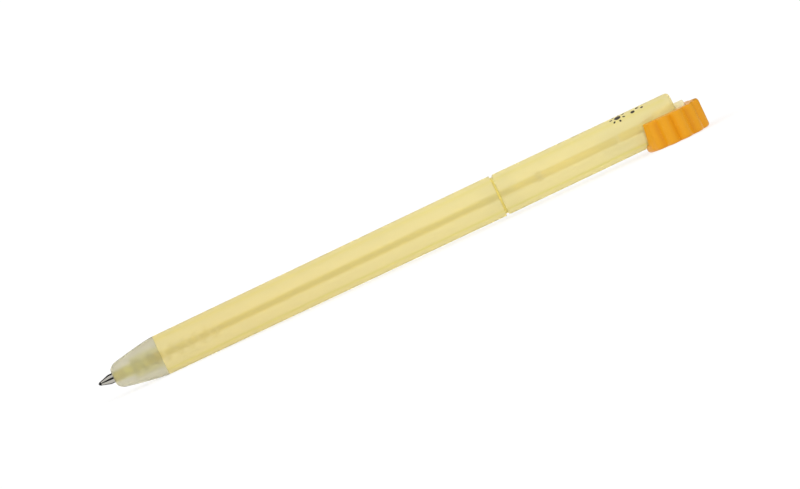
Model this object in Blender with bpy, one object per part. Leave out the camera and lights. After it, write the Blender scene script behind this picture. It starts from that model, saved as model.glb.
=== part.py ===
import math

import bmesh
import bpy
from mathutils import Matrix, Vector

# Driving sizes, in metres. Stations run along the pen from the ball's end.

# Outside lengths
TIP_REACH = 0.0037
CONE_LENGTH = 0.01175
LOWER_LENGTH = 0.0842
SEAM_GAP = 0.00055
UPPER_LENGTH = 0.0441
STUB_LENGTH = 0.0023

# Barrel bore and walls
BORE_RADIUS = 0.0037
FRONT_WALL = 0.0010
SEAM_WALL = 0.00123
UPPER_WALL = 0.00119
UPPER_TAIL_WALL = 0.0011
END_WALL = 0.0015
SPIGOT_LENGTH = 0.0080
COUPLING_LENGTH = 0.0040
COUPLING_WALL = 0.0008
FLANGE_INSET = 0.00045
UPPER_FRONT_ROUND = 0.0005
UPPER_END_ROUND = 0.0010
EDGE_ROUND = 0.00012

# Nose cone
NOSE_RADIUS = 0.00266
NOSE_ROUND = 0.0013
NOSE_ROUND_LENGTH = 0.0018
NOSE_CURVE = 1.3
NOSE_LAND = 0.0014
SPRING_SEAT_DEPTH = 0.0049

# Writing tip and refill
BALL_RADIUS = 0.0003
BALL_SHOW = 0.0002
TIP_RIM_RADIUS = 0.00037
TIP_RADIUS = 0.00113
TIP_CONE_LENGTH = 0.00255
SHANK_RADIUS = 0.0008
SHANK_LENGTH = 0.0040
INK_WAY_RADIUS = 0.0002
HOLDER_LENGTH = 0.0060
HOLDER_PLUG_LENGTH = 0.0040
TUBE_RADIUS = 0.00118
TUBE_WALL = 0.00045
COLLAR_HEIGHT = 0.00102
COLLAR_LENGTH = 0.0010
PLUG_LENGTH = 0.0030
PLUG_HEAD = 0.0010
INK_HEADSPACE = 0.0030

# Return spring
SPRING_RADIUS = 0.00225
SPRING_WIRE = 0.0004
SPRING_LENGTH = 0.0214
SPRING_COILS = 9
SPRING_END_COILS = 1

# Knock mechanism
ROD_RADIUS = 0.00195
ROD_END_ROUND = 0.0004
FIN_HEIGHT = 0.00065
FIN_WIDTH = 0.0011
FIN_LENGTH = 0.0040
FIN_COUNT = 4
GUIDE_LENGTH = 0.0180
GUIDE_RIB_WIDTH = 0.0012
GUIDE_RIB_ROOT = 0.0005
RIB_LENGTH = 0.0080
RIB_SETBACK = 0.0015
ROTOR_RADIUS = 0.00175
ROTOR_LENGTH = 0.0140
STEM_RADIUS = 0.0009
STEM_LENGTH = 0.0050
TOOTH_DEPTH = 0.0008
TOOTH_WIDTH = 0.0010
PRESS_TRAVEL = 0.0012

# Knock knob
KNOB_LENGTH = 0.0154
KNOB_WIDTH = 0.0208
KNOB_FLOOR = 0.00088
KNOB_FACE_HEIGHT = 0.00077
KNOB_TAIL_WALL = 0.0033
KNOB_LOBES = 12
KNOB_GROOVE = 0.0008
KNOB_TOE_HEIGHT = 0.0019
KNOB_TRIM_LOW = 0.0007
KNOB_TRIM_HIGH = 0.0014
KNOB_FACE_ROUND = 0.0005
KNOB_BACK_ROUND = 0.0007
STUD_RADIUS = 0.0012
STUD_DROP = 0.0012
STUD_LENGTH = 0.0020

# Clearances
RUN_GAP = 0.00015
FIT_GAP = 0.0001
BALL_GAP = 0.00003
LATCH_GAP = 0.0003
SPRING_GAP = 0.00025

# Fineness of the round surfaces
BARREL_SIDES = 40
SMALL_SIDES = 24
ROUND_STEPS = 4
FLANK_STEPS = 7
LOBE_STEPS = 6
COIL_STEPS = 14
SHARP_ANGLE = math.radians(32)

# Stations worked out from the sizes above
CONE_FRONT = TIP_REACH
CONE_BACK = CONE_FRONT + CONE_LENGTH
LOWER_BACK = CONE_BACK + LOWER_LENGTH
UPPER_FRONT = LOWER_BACK + SEAM_GAP
UPPER_BACK = UPPER_FRONT + UPPER_LENGTH
ROD_END = UPPER_BACK + STUB_LENGTH
KNOB_BACK = ROD_END + FIT_GAP + KNOB_TAIL_WALL
KNOB_FRONT = KNOB_BACK - KNOB_LENGTH
GUIDE_FRONT = UPPER_BACK - END_WALL - GUIDE_LENGTH
ROTOR_BACK = GUIDE_FRONT - LATCH_GAP
ROTOR_FRONT = ROTOR_BACK - ROTOR_LENGTH
REFILL_BACK = ROTOR_FRONT - FIT_GAP
ROD_FRONT = ROTOR_BACK + RUN_GAP
HOLDER_FRONT = CONE_FRONT + NOSE_LAND + PRESS_TRAVEL + RUN_GAP
TUBE_FRONT = HOLDER_FRONT + HOLDER_LENGTH + FIT_GAP
TUBE_BACK = REFILL_BACK - PLUG_HEAD - FIT_GAP
SPRING_SEAT = CONE_FRONT + SPRING_SEAT_DEPTH
COLLAR_FRONT = SPRING_SEAT + SPRING_LENGTH

# Radii worked out from the sizes above
LOWER_FRONT_RADIUS = BORE_RADIUS + FRONT_WALL
LOWER_BACK_RADIUS = BORE_RADIUS + SEAM_WALL
UPPER_RADIUS = BORE_RADIUS + UPPER_WALL
UPPER_TAIL_RADIUS = BORE_RADIUS + UPPER_TAIL_WALL
SPIGOT_RADIUS = BORE_RADIUS - FIT_GAP
FLANGE_RADIUS = UPPER_RADIUS - FLANGE_INSET
FIN_REACH = ROD_RADIUS + FIN_HEIGHT
ROD_HOLE = ROD_RADIUS + RUN_GAP
GUIDE_BORE = ROD_HOLE + FIT_GAP
TUBE_BORE = TUBE_RADIUS - TUBE_WALL
CHANNEL_RADIUS = UPPER_RADIUS + RUN_GAP
AXIS_HEIGHT = CHANNEL_RADIUS + KNOB_FLOOR


def clear_scene():
    for old in list(bpy.data.objects):
        bpy.data.objects.remove(old, do_unlink=True)


def linear(channel):
    share = channel / 255
    if share <= 0.04045:
        return share / 12.92
    return ((share + 0.055) / 1.055) ** 2.4


def make_material(name, rgb, roughness, metallic=0.0, transmission=0.0):
    material = bpy.data.materials.new(name)
    material.use_nodes = True
    shader = material.node_tree.nodes["Principled BSDF"]
    shader.inputs["Base Color"].default_value = [linear(c) for c in rgb] + [1.0]
    shader.inputs["Roughness"].default_value = roughness
    shader.inputs["Metallic"].default_value = metallic
    shader.inputs["Transmission Weight"].default_value = transmission
    return material


def make_empty(name, parent, location):
    empty = bpy.data.objects.new(name, None)
    bpy.context.scene.collection.objects.link(empty)
    empty.parent = parent
    empty.location = location
    return empty


def add_object(bm, name, parent, station, material):
    bmesh.ops.recalc_face_normals(bm, faces=bm.faces)
    mesh = bpy.data.meshes.new(name)
    bm.to_mesh(mesh)
    bm.free()
    mesh.shade_smooth()
    mesh.set_sharp_from_angle(angle=SHARP_ANGLE)
    if material:
        mesh.materials.append(material)
    piece = bpy.data.objects.new(name, mesh)
    bpy.context.scene.collection.objects.link(piece)
    piece.parent = parent
    piece.location = (station, 0, 0)
    return piece


def arc(center, radius, start, end, steps=ROUND_STEPS):
    points = []
    for step in range(steps + 1):
        angle = math.radians(start + (end - start) * step / steps)
        points.append((center[0] + radius * math.cos(angle), center[1] + radius * math.sin(angle)))
    return points


def turned_mesh(profile, sides):
    bm = bmesh.new()
    rim = [bm.verts.new((along, 0, radius)) for along, radius in profile]
    for start, end in zip(rim, rim[1:] + rim[:1]):
        if start.co.z > 0 or end.co.z > 0:
            bm.edges.new((start, end))
    bmesh.ops.spin(
        bm, geom=bm.verts[:] + bm.edges[:], cent=(0, 0, 0), axis=(1, 0, 0),
        angle=2 * math.pi, steps=sides, use_duplicate=False,
    )
    bmesh.ops.remove_doubles(bm, verts=bm.verts, dist=1e-7)
    return bm


def turned(name, parent, station, profile, material, sides=SMALL_SIDES):
    return add_object(turned_mesh(profile, sides), name, parent, station, material)


def prism_mesh(bm, outline, low, high, place):
    bottom = [bm.verts.new(place @ Vector((a, b, low))) for a, b in outline]
    top = [bm.verts.new(place @ Vector((a, b, high))) for a, b in outline]
    bm.faces.new(bottom)
    bm.faces.new(top)
    for index in range(len(outline)):
        after = (index + 1) % len(outline)
        bm.faces.new((bottom[index], bottom[after], top[after], top[index]))


def around_axis(count, first_angle=0.0):
    for index in range(count):
        yield Matrix.Rotation(first_angle + 2 * math.pi * index / count, 4, "X")


def make_tool(bm, name, parent, station):
    tool = add_object(bm, name, parent, station, None)
    tool.hide_render = True
    tool.display_type = "WIRE"
    return tool


def combine(piece, tool, operation):
    modifier = piece.modifiers.new(tool.name, "BOOLEAN")
    modifier.operation = operation
    modifier.object = tool


def fin_tool(name, parent, station, length, slope):
    # Flat-sided ribs around the axis, with their tail ends sloped
    bm = bmesh.new()
    half = FIN_WIDTH / 2
    outline = [(0, -half), (length - slope, -half), (length, half), (0, half)]
    for turn in around_axis(FIN_COUNT):
        prism_mesh(bm, outline, STEM_RADIUS + RUN_GAP * 2, FIN_REACH, turn)
    return make_tool(bm, name, parent, station)


def tooth_tool(name, parent, station, count, first_angle, reach, toward):
    # Saw-tooth notches in an end face; toward is 1 where they go tailwards
    bm = bmesh.new()
    half = TOOTH_WIDTH / 2
    outline = [
        (-toward * TOOTH_DEPTH, -half),
        (-toward * TOOTH_DEPTH, half),
        (toward * TOOTH_DEPTH, half),
        (0, -half),
    ]
    for turn in around_axis(count, first_angle):
        prism_mesh(bm, outline, STEM_RADIUS + RUN_GAP * 2, reach, turn)
    return make_tool(bm, name, parent, station)


def cone_flank(along):
    share = 1 - (1 - along / CONE_LENGTH) ** NOSE_CURVE
    return NOSE_RADIUS + (LOWER_FRONT_RADIUS - NOSE_RADIUS) * share


def make_nose_cone(parent, material):
    hole = TIP_RADIUS + RUN_GAP
    holder_bore = TUBE_RADIUS + SPRING_GAP
    chamber = SPRING_RADIUS + SPRING_GAP
    spigot_end = CONE_LENGTH + SPIGOT_LENGTH
    profile = [(0, hole)]
    for step in range(ROUND_STEPS + 1):
        angle = math.pi / 2 * step / ROUND_STEPS
        along = NOSE_ROUND_LENGTH * (1 - math.cos(angle))
        profile.append((along, cone_flank(along) - NOSE_ROUND * (1 - math.sin(angle))))
    flank_length = CONE_LENGTH - EDGE_ROUND - NOSE_ROUND_LENGTH
    for step in range(1, FLANK_STEPS):
        along = NOSE_ROUND_LENGTH + flank_length * step / FLANK_STEPS
        profile.append((along, cone_flank(along)))
    profile += [
        (CONE_LENGTH - EDGE_ROUND, cone_flank(CONE_LENGTH - EDGE_ROUND)),
        (CONE_LENGTH, LOWER_FRONT_RADIUS - EDGE_ROUND),
        (CONE_LENGTH, SPIGOT_RADIUS),
        (spigot_end, SPIGOT_RADIUS),
        (spigot_end, chamber),
        (SPRING_SEAT_DEPTH, chamber),
        (SPRING_SEAT_DEPTH, holder_bore),
        (NOSE_LAND, holder_bore),
        (NOSE_LAND, hole),
    ]
    turned("nose_cone", parent, CONE_FRONT, profile, material, BARREL_SIDES)


def make_lower_barrel(parent, material):
    length = LOWER_LENGTH - FIT_GAP
    profile = [
        (0, BORE_RADIUS),
        (0, LOWER_FRONT_RADIUS - EDGE_ROUND),
        (EDGE_ROUND, LOWER_FRONT_RADIUS),
        (length - EDGE_ROUND, LOWER_BACK_RADIUS),
        (length, LOWER_BACK_RADIUS - EDGE_ROUND),
        (length, BORE_RADIUS),
    ]
    turned("lower_barrel", parent, CONE_BACK + FIT_GAP, profile, material, BARREL_SIDES)


def make_upper_barrel(parent, material):
    front = (UPPER_FRONT_ROUND, UPPER_RADIUS - UPPER_FRONT_ROUND)
    back = (UPPER_LENGTH - UPPER_END_ROUND, UPPER_TAIL_RADIUS - UPPER_END_ROUND)
    profile = [(0, BORE_RADIUS)]
    profile += arc(front, UPPER_FRONT_ROUND, 180, 90)
    profile += arc(back, UPPER_END_ROUND, 90, 0)
    profile += [
        (UPPER_LENGTH, ROD_HOLE),
        (UPPER_LENGTH - END_WALL, ROD_HOLE),
        (UPPER_LENGTH - END_WALL, BORE_RADIUS),
    ]
    barrel = turned("upper_barrel", parent, UPPER_FRONT, profile, material, BARREL_SIDES)
    # Guide ribs that the rod's ribs slide between; their front ends are the cam's sloped teeth
    half = GUIDE_RIB_WIDTH / 2
    end = GUIDE_LENGTH + GUIDE_RIB_ROOT
    outline = [(0, -half), (end, -half), (end, half), (TOOTH_DEPTH, half)]
    bm = bmesh.new()
    for turn in around_axis(FIN_COUNT, math.pi / FIN_COUNT):
        prism_mesh(bm, outline, GUIDE_BORE, BORE_RADIUS + GUIDE_RIB_ROOT, turn)
    combine(barrel, make_tool(bm, "guide_ribs", parent, GUIDE_FRONT), "UNION")


def make_coupling_sleeve(parent, material):
    flange_front = COUPLING_LENGTH + FIT_GAP
    flange_back = COUPLING_LENGTH + SEAM_GAP - FIT_GAP
    length = 2 * COUPLING_LENGTH + SEAM_GAP
    bore = SPIGOT_RADIUS - COUPLING_WALL
    profile = [
        (0, bore),
        (0, SPIGOT_RADIUS),
        (flange_front, SPIGOT_RADIUS),
        (flange_front, FLANGE_RADIUS),
        (flange_back, FLANGE_RADIUS),
        (flange_back, SPIGOT_RADIUS),
        (length, SPIGOT_RADIUS),
        (length, bore),
    ]
    station = LOWER_BACK - COUPLING_LENGTH
    turned("coupling_sleeve", parent, station, profile, material, BARREL_SIDES)


def make_cam_rotor(parent, material):
    profile = [
        (0, 0),
        (0, ROTOR_RADIUS),
        (ROTOR_LENGTH, ROTOR_RADIUS),
        (ROTOR_LENGTH, STEM_RADIUS),
        (ROTOR_LENGTH + STEM_LENGTH, STEM_RADIUS),
        (ROTOR_LENGTH + STEM_LENGTH, 0),
    ]
    rotor = turned("cam_rotor", parent, ROTOR_FRONT, profile, material)
    fins = fin_tool("rotor_fins", parent, ROTOR_BACK - FIN_LENGTH, FIN_LENGTH, TOOTH_DEPTH)
    combine(rotor, fins, "UNION")
    teeth = tooth_tool(
        "rotor_tooth_cutter", parent, ROTOR_BACK, FIN_COUNT, math.pi / FIN_COUNT,
        ROTOR_RADIUS + RUN_GAP, -1,
    )
    combine(rotor, teeth, "DIFFERENCE")


def make_push_rod(parent, material):
    length = ROD_END - ROD_FRONT
    bore = STEM_RADIUS + RUN_GAP
    bore_end = STEM_LENGTH + RUN_GAP
    corner = (length - ROD_END_ROUND, ROD_RADIUS - ROD_END_ROUND)
    profile = [(bore_end, 0), (bore_end, bore), (0, bore), (0, ROD_RADIUS)]
    profile += arc(corner, ROD_END_ROUND, 90, 0)
    profile += [(length, 0)]
    rod = turned("push_rod", parent, ROD_FRONT, profile, material)
    ribs = fin_tool("rod_ribs", parent, GUIDE_FRONT + RIB_SETBACK, RIB_LENGTH, 0)
    combine(rod, ribs, "UNION")
    # Off-centre stud that holds the knob, rooted just inside the rod's rounded end
    stud_root = -ROD_END_ROUND - FIT_GAP
    stud_profile = [
        (stud_root, 0),
        (stud_root, STUD_RADIUS),
        (STUD_LENGTH, STUD_RADIUS),
        (STUD_LENGTH, 0),
    ]
    stud = make_tool(turned_mesh(stud_profile, SMALL_SIDES), "rod_stud", parent, ROD_END)
    stud.location.z = -STUD_DROP
    combine(rod, stud, "UNION")
    teeth = tooth_tool(
        "rod_tooth_cutter", parent, ROD_FRONT, FIN_COUNT, math.pi / FIN_COUNT, ROD_HOLE, 1,
    )
    combine(rod, teeth, "DIFFERENCE")


def knob_outline():
    # Scalloped oval, fitted to the knob's length and width
    count = KNOB_LOBES * LOBE_STEPS
    groove_share = KNOB_GROOVE * 2 / KNOB_LENGTH
    points = []
    for index in range(count):
        angle = 2 * math.pi * index / count
        swell = abs(math.sin(angle * KNOB_LOBES / 2))
        radius = 1 - groove_share * (1 - swell)
        points.append((radius * math.cos(angle), radius * math.sin(angle)))
    reach_x = max(abs(x) for x, y in points)
    reach_y = max(abs(y) for x, y in points)
    return [(x / reach_x, y / reach_y) for x, y in points]


def make_knob(parent, material):
    bottom = -AXIS_HEIGHT
    back_center = (-KNOB_BACK_ROUND, bottom + KNOB_BACK_ROUND)
    face_center = (-KNOB_FACE_ROUND, KNOB_FACE_HEIGHT - KNOB_FACE_ROUND)
    levels = arc(back_center, KNOB_BACK_ROUND, -90, 0)
    levels += arc(face_center, KNOB_FACE_ROUND, 0, 90)
    bm = bmesh.new()
    rings = []
    for inset, height in levels:
        ring = []
        for x, y in knob_outline():
            spot = (x * (KNOB_LENGTH / 2 + inset), y * (KNOB_WIDTH / 2 + inset), height)
            ring.append(bm.verts.new(spot))
        rings.append(ring)
    for low, high in zip(rings, rings[1:]):
        for index in range(len(low)):
            after = (index + 1) % len(low)
            bm.faces.new((low[index], low[after], high[after], high[index]))
    bm.faces.new(rings[0])
    bm.faces.new(rings[-1])
    knob = add_object(bm, "knock_knob", parent, (KNOB_FRONT + KNOB_BACK) / 2, material)
    # Channel that the barrel's tail slides in, open to the face
    channel = [(CHANNEL_RADIUS, CHANNEL_RADIUS), (-CHANNEL_RADIUS, CHANNEL_RADIUS)]
    channel += arc((0, 0), CHANNEL_RADIUS, 180, 360, BARREL_SIDES // 2)
    bm = bmesh.new()
    facing = Matrix(((0, 0, 1, 0), (1, 0, 0, 0), (0, 1, 0, 0), (0, 0, 0, 1)))
    prism_mesh(bm, channel, -KNOB_LENGTH, 0, facing)
    cutter = make_tool(bm, "channel_cutter", parent, ROD_END + FIT_GAP)
    combine(knob, cutter, "DIFFERENCE")
    # Side walls end blunt, a little behind the toe under the barrel
    toe = bottom + KNOB_TOE_HEIGHT
    above = KNOB_FACE_HEIGHT * 2
    ahead = -KNOB_LENGTH / 4
    trim = [(ahead, toe), (KNOB_TRIM_LOW, toe), (KNOB_TRIM_HIGH, above), (ahead, above)]
    bm = bmesh.new()
    upright = Matrix(((1, 0, 0, 0), (0, 0, -1, 0), (0, 1, 0, 0), (0, 0, 0, 1)))
    prism_mesh(bm, trim, -KNOB_WIDTH, KNOB_WIDTH, upright)
    cutter = make_tool(bm, "wall_end_cutter", parent, KNOB_FRONT)
    combine(knob, cutter, "DIFFERENCE")
    hole_profile = [
        (-STUD_LENGTH, 0),
        (-STUD_LENGTH, STUD_RADIUS + FIT_GAP),
        (STUD_LENGTH + FIT_GAP, STUD_RADIUS + FIT_GAP),
        (STUD_LENGTH + FIT_GAP, 0),
    ]
    hole = make_tool(turned_mesh(hole_profile, SMALL_SIDES), "stud_hole_cutter", parent, ROD_END)
    hole.location.z = -STUD_DROP
    combine(knob, hole, "DIFFERENCE")


def make_writing_ball(parent, material):
    bm = bmesh.new()
    bmesh.ops.create_uvsphere(bm, u_segments=SMALL_SIDES, v_segments=SMALL_SIDES // 2, radius=BALL_RADIUS)
    add_object(bm, "writing_ball", parent, 0, material)


def make_tip_body(parent, material):
    socket = BALL_RADIUS + BALL_GAP
    rim_angle = 180 - math.degrees(math.acos((BALL_RADIUS - BALL_SHOW) / socket))
    back_angle = math.degrees(math.asin(INK_WAY_RADIUS / socket))
    shoulder = HOLDER_FRONT - FIT_GAP
    profile = [
        (BALL_SHOW, TIP_RIM_RADIUS),
        (BALL_SHOW + TIP_CONE_LENGTH, TIP_RADIUS),
        (shoulder, TIP_RADIUS),
        (shoulder, SHANK_RADIUS),
        (shoulder + SHANK_LENGTH, SHANK_RADIUS),
        (shoulder + SHANK_LENGTH, INK_WAY_RADIUS),
    ]
    profile += arc((BALL_RADIUS, 0), socket, back_angle, rim_angle)
    turned("tip_body", parent, 0, profile, material)


def make_tip_holder(parent, material):
    shank_bore = SHANK_RADIUS + FIT_GAP
    plug_radius = TUBE_BORE - FIT_GAP
    bore_end = SHANK_LENGTH + FIT_GAP
    length = HOLDER_LENGTH + HOLDER_PLUG_LENGTH
    profile = [
        (0, shank_bore),
        (0, TUBE_RADIUS),
        (HOLDER_LENGTH, TUBE_RADIUS),
        (HOLDER_LENGTH, plug_radius),
        (length, plug_radius),
        (length, INK_WAY_RADIUS),
        (bore_end, INK_WAY_RADIUS),
        (bore_end, shank_bore),
    ]
    turned("tip_holder", parent, HOLDER_FRONT, profile, material)


def make_refill_tube(parent, material):
    collar = COLLAR_FRONT - TUBE_FRONT
    collar_radius = TUBE_RADIUS + COLLAR_HEIGHT
    length = TUBE_BACK - TUBE_FRONT
    profile = [
        (0, TUBE_BORE),
        (0, TUBE_RADIUS),
        (collar, TUBE_RADIUS),
        (collar, collar_radius),
        (collar + COLLAR_LENGTH, collar_radius),
        (collar + COLLAR_LENGTH, TUBE_RADIUS),
        (length, TUBE_RADIUS),
        (length, TUBE_BORE),
    ]
    turned("refill_tube", parent, TUBE_FRONT, profile, material)


def make_tail_plug(parent, material):
    plug_radius = TUBE_BORE - FIT_GAP
    head_front = PLUG_LENGTH + FIT_GAP
    length = head_front + PLUG_HEAD
    profile = [
        (0, INK_WAY_RADIUS),
        (0, plug_radius),
        (head_front, plug_radius),
        (head_front, TUBE_RADIUS),
        (length, TUBE_RADIUS),
        (length, INK_WAY_RADIUS),
    ]
    turned("tail_plug", parent, REFILL_BACK - length, profile, material)


def make_ink_column(parent, material):
    front = HOLDER_FRONT + HOLDER_LENGTH + HOLDER_PLUG_LENGTH + FIT_GAP
    back = TUBE_BACK - PLUG_LENGTH - INK_HEADSPACE
    radius = TUBE_BORE - FIT_GAP
    profile = [(0, 0), (0, radius), (back - front, radius), (back - front, 0)]
    turned("ink_column", parent, front, profile, material)


def make_return_spring(parent, material):
    # Helix with a nearly closed coil at each end
    mean_radius = SPRING_RADIUS - SPRING_WIRE / 2
    end_pitch = SPRING_WIRE + FIT_GAP / 2
    usable = SPRING_LENGTH - SPRING_WIRE - 2 * FIT_GAP
    middle_coils = SPRING_COILS - 2 * SPRING_END_COILS
    middle_pitch = (usable - 2 * SPRING_END_COILS * end_pitch) / middle_coils
    curve = bpy.data.curves.new("return_spring", "CURVE")
    curve.dimensions = "3D"
    curve.bevel_depth = SPRING_WIRE / 2
    curve.bevel_resolution = 1
    curve.use_fill_caps = True
    curve.materials.append(material)
    spline = curve.splines.new("POLY")
    count = SPRING_COILS * COIL_STEPS
    spline.points.add(count)
    for index in range(count + 1):
        turns = index / COIL_STEPS
        first = min(turns, SPRING_END_COILS)
        middle = min(max(turns - SPRING_END_COILS, 0), middle_coils)
        last = max(turns - SPRING_END_COILS - middle_coils, 0)
        along = (first + last) * end_pitch + middle * middle_pitch
        angle = 2 * math.pi * turns
        spot = (along, mean_radius * math.cos(angle), mean_radius * math.sin(angle), 1)
        spline.points[index].co = spot
    spring = bpy.data.objects.new("return_spring", curve)
    bpy.context.scene.collection.objects.link(spring)
    spring.parent = parent
    spring.location = (SPRING_SEAT + FIT_GAP + SPRING_WIRE / 2, 0, 0)


def make_pen():
    clear_scene()
    milky_yellow = make_material("milky_yellow", (238, 222, 155), 0.35, transmission=0.3)
    frosted_clear = make_material("frosted_clear", (205, 198, 176), 0.45, transmission=0.6)
    orange = make_material("orange", (237, 165, 46), 0.4)
    natural = make_material("natural_plastic", (236, 224, 176), 0.5)
    yellow = make_material("yellow", (236, 218, 140), 0.4)
    tube_clear = make_material("tube_clear", (222, 214, 190), 0.35, transmission=0.5)
    ink = make_material("ink", (24, 22, 26), 0.3)
    steel = make_material("steel", (212, 210, 204), 0.22, metallic=1.0)
    spring_steel = make_material("spring_steel", (176, 176, 176), 0.3, metallic=1.0)
    carbide = make_material("carbide", (40, 40, 42), 0.25, metallic=1.0)

    axis = make_empty("pen_axis", None, (-KNOB_BACK / 2, 0, AXIS_HEIGHT))
    knock = make_empty("knock_axis", axis, (0, 0, 0))
    refill = make_empty("refill_axis", axis, (0, 0, 0))
    rotor = make_empty("rotor_axis", refill, (0, 0, 0))
    ball = make_empty("ball_axis", refill, (BALL_RADIUS, 0, 0))

    make_nose_cone(axis, frosted_clear)
    make_lower_barrel(axis, milky_yellow)
    make_upper_barrel(axis, milky_yellow)
    make_coupling_sleeve(axis, natural)
    make_return_spring(axis, spring_steel)
    make_push_rod(knock, yellow)
    make_knob(knock, orange)
    make_refill_tube(refill, tube_clear)
    make_tail_plug(refill, natural)
    make_ink_column(refill, ink)
    make_tip_holder(refill, natural)
    make_tip_body(refill, steel)
    make_cam_rotor(rotor, natural)
    make_writing_ball(ball, carbide)


make_pen()
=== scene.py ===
import math

import bmesh
import bpy
from mathutils import Matrix, Vector


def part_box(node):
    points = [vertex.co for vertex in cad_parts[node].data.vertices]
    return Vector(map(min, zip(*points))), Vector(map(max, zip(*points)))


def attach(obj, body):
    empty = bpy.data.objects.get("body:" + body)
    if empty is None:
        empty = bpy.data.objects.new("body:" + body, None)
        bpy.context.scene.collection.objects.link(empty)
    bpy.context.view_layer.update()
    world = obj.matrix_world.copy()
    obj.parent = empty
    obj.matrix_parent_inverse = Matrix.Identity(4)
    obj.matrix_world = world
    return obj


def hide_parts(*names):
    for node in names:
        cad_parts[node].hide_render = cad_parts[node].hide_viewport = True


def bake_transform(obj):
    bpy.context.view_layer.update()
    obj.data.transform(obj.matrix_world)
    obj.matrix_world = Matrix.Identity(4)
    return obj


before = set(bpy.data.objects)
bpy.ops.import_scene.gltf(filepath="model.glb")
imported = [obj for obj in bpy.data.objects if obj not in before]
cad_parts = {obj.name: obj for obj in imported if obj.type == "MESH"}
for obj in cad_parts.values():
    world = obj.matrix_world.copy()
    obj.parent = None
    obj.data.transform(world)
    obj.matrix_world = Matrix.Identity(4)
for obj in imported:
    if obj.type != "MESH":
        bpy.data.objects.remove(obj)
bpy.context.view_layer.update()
print("frame loaded with", len(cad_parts), "nodes")

mm = 0.001


def nodeBox(node):
    low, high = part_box(node)
    return Vector(low), Vector(high)


def radiusOf(node):
    low, high = nodeBox(node)
    return (high.z - low.z) / 2


def startOf(node):
    return nodeBox(node)[0].x


def endOf(node):
    return nodeBox(node)[1].x


# the pen's axis runs along x at this height
axisZ = (nodeBox("upper_barrel")[0].z + nodeBox("upper_barrel")[1].z) / 2

meshDetail = {
    "barrelSides": 128,
    "smallSides": 64,
    "tubeSides": 48,
    "pegSides": 32,
    "arcSteps": 6,
    "edgeSteps": 3,              # on the smallest rounds
    "sharpAngle": math.radians(38),
    "weld": 1e-8,                # points nearer than this are joined
    "slack": 0.01 * mm,          # a face this near to a limit counts as on it
    "inward": -0.1,              # outward share below which a face looks at the axis
}


# mesh helpers

def objectFrom(bm, name, *materials):
    mesh = bpy.data.meshes.new(name)
    bm.to_mesh(mesh)
    bm.free()
    for material in materials:
        mesh.materials.append(material)
    piece = bpy.data.objects.new(name, mesh)
    bpy.context.scene.collection.objects.link(piece)
    return piece


def smoothMesh(mesh):
    mesh.shade_smooth()
    mesh.set_sharp_from_angle(angle=meshDetail["sharpAngle"])


def finishObject(bm, name, material):
    bmesh.ops.recalc_face_normals(bm, faces=bm.faces)
    piece = objectFrom(bm, name, material)
    smoothMesh(piece.data)
    return piece


def skinRows(bm, rows):
    # faces between open rows of points
    for first, second in zip(rows, rows[1:]):
        for index in range(len(first) - 1):
            bm.faces.new((first[index], first[index + 1], second[index + 1], second[index]))


def skinRings(bm, rings):
    # faces between closed rings of points, and a cap on each end
    skinRows(bm, [ring + ring[:1] for ring in rings])
    bm.faces.new(rings[0])
    bm.faces.new(rings[-1])


def arcPoints(x, radius, bend, startAngle, endAngle, steps=meshDetail["arcSteps"]):
    points = []
    for step in range(steps + 1):
        angle = math.radians(startAngle + (endAngle - startAngle) * step / steps)
        points.append((x + bend * math.cos(angle), radius + bend * math.sin(angle)))
    return points


def blockOutline(front, back, radius):
    # outline of a plain round block, for the lathe
    return [(front, 0), (front, radius), (back, radius), (back, 0)]


def latheMesh(profile, sides):
    # closed outline of (x, radius) points, turned about the pen's axis
    bm = bmesh.new()
    outline = [bm.verts.new((x, 0, axisZ + radius)) for x, radius in profile]
    for first, second in zip(outline, outline[1:] + outline[:1]):
        if max(first.co.z, second.co.z) > axisZ:
            bm.edges.new((first, second))
    bmesh.ops.spin(bm, geom=bm.verts[:] + bm.edges[:], cent=(0, 0, axisZ), axis=(1, 0, 0),
                   angle=2 * math.pi, steps=sides, use_duplicate=False)
    bmesh.ops.remove_doubles(bm, verts=bm.verts, dist=meshDetail["weld"])
    return bm


def lathe(name, profile, material, sides=meshDetail["smallSides"]):
    return finishObject(latheMesh(profile, sides), name, material)


def spokeOf(point):
    # from the pen's axis straight out to the point
    return Vector((0, point.y, point.z - axisZ))


def addFinish(piece, material, chosen):
    # puts another finish on the faces that chosen(centre, outward share) picks
    mesh = piece.data
    mesh.materials.append(material)
    for face in mesh.polygons:
        spoke = spokeOf(face.center)
        outward = face.normal.dot(spoke.normalized()) if spoke.length > 0 else 0.0
        if chosen(face.center, outward):
            face.material_index = len(mesh.materials) - 1


def addPrism(bm, outline, low, high, place):
    rings = [[bm.verts.new(place @ Vector((a, b, level))) for a, b in outline] for level in (low, high)]
    skinRings(bm, rings)


def ribTool(outline, x, inner, outer, firstTurn):
    # four ribs round the axis, each an outline along the pen
    bm = bmesh.new()
    for quarter in range(4):
        turn = Matrix.Rotation(firstTurn + math.pi / 2 * quarter, 4, "X")
        addPrism(bm, outline, inner, outer, Matrix.Translation((x, 0, axisZ)) @ turn)
    return bm


def pegTool(front, back, radius, drop):
    # round peg along the pen, below its axis
    bm = latheMesh(blockOutline(front, back, radius), meshDetail["pegSides"])
    bmesh.ops.translate(bm, verts=bm.verts, vec=(0, 0, -drop))
    return bm


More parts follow.
